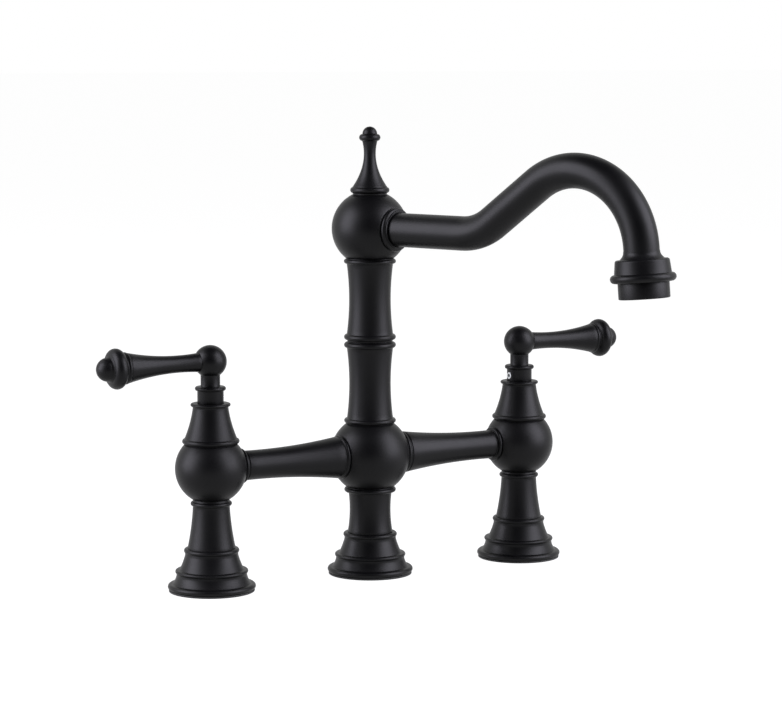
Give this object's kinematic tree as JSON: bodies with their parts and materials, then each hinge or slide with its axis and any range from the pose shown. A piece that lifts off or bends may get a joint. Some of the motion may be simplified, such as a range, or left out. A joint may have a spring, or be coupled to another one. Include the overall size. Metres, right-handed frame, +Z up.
{
  "type": "bridge kitchen faucet",
  "caption": "Deck-mounted bridge faucet on turned legs, with outward quarter-turn lever valves, a turned column with a finial and a swivelling arched spout.",
  "frame": {"origin": "on the deck, on the axis of the centre leg", "axes": "+X from the hot valve on the left to the cold valve on the right, +Z up, -Y towards the user; at rest the spout is swung to the right of straight ahead as pictured, and both levers point outward, closed"},
  "size_m": [0.3394, 0.2181, 0.2562],
  "materials": {
    "black_brass": "brass castings and turnings with a smooth satin black powder coat",
    "bare_brass": "machined brass, uncoated, inside the valves and the swivel",
    "stainless_steel": "plain bright stainless steel screws, clips and mesh",
    "seal_rubber": "moulded black nitrile rubber",
    "alumina_ceramic": "lapped off-white alumina valve discs",
    "white_acetal": "moulded white acetal"
  },
  "bodies": {
    "fixed_body": {"centre_body": "black_brass", "centre_escutcheon": "black_brass", "centre_foot_seal": "seal_rubber", "centre_leg": "black_brass", "glide_washer": "white_acetal", "left_bonnet": "black_brass", "left_bridge_arm": "black_brass", "left_cartridge_housing": "bare_brass", "left_cartridge_oring": "seal_rubber", "left_escutcheon": "black_brass", "left_fixed_disc": "alumina_ceramic", "left_foot_seal": "seal_rubber", "left_leg": "black_brass", "left_seat_seal": "seal_rubber", "left_valve_body": "black_brass", "lower_column": "black_brass", "right_bonnet": "black_brass", "right_bridge_arm": "black_brass", "right_cartridge_housing": "bare_brass", "right_cartridge_oring": "seal_rubber", "right_escutcheon": "black_brass", "right_fixed_disc": "alumina_ceramic", "right_foot_seal": "seal_rubber", "right_leg": "black_brass", "right_seat_seal": "seal_rubber", "right_valve_body": "black_brass", "swivel_clip": "stainless_steel", "swivel_orings": "seal_rubber", "swivel_spigot": "bare_brass"},
    "spout": {"upper_column": "black_brass", "spout_hub": "black_brass", "finial": "black_brass", "spout_collar": "black_brass", "spout_tube": "black_brass", "nozzle_collar": "black_brass", "aerator_washer": "seal_rubber", "aerator_housing": "black_brass", "aerator_insert": "white_acetal", "aerator_screen": "stainless_steel"},
    "hot_handle": {"left_spindle": "bare_brass", "left_moving_disc": "alumina_ceramic", "left_spindle_orings": "seal_rubber", "left_spindle_clip": "stainless_steel", "left_handle_hub": "black_brass", "left_lever": "black_brass", "left_lever_knob": "black_brass", "left_grub_screw": "stainless_steel"},
    "cold_handle": {"right_spindle": "bare_brass", "right_moving_disc": "alumina_ceramic", "right_spindle_orings": "seal_rubber", "right_spindle_clip": "stainless_steel", "right_handle_hub": "black_brass", "right_lever": "black_brass", "right_lever_knob": "black_brass", "right_grub_screw": "stainless_steel"}
  },
  "joints": [
    {"name": "spout_swivel", "type": "hinge", "parent": "fixed_body", "child": "spout", "pos_m": [0, 0, 0.1342], "axis": [0, 0, 1], "continuous": true},
    {"name": "hot_lever_turn", "type": "hinge", "parent": "fixed_body", "child": "hot_handle", "pos_m": [-0.1016, 0, 0.1056], "axis": [0, 0, 1], "range_deg": [0, 90]},
    {"name": "cold_lever_turn", "type": "hinge", "parent": "fixed_body", "child": "cold_handle", "pos_m": [0.1016, 0, 0.1056], "axis": [0, 0, 1], "range_deg": [-90, 0]}
  ]
}
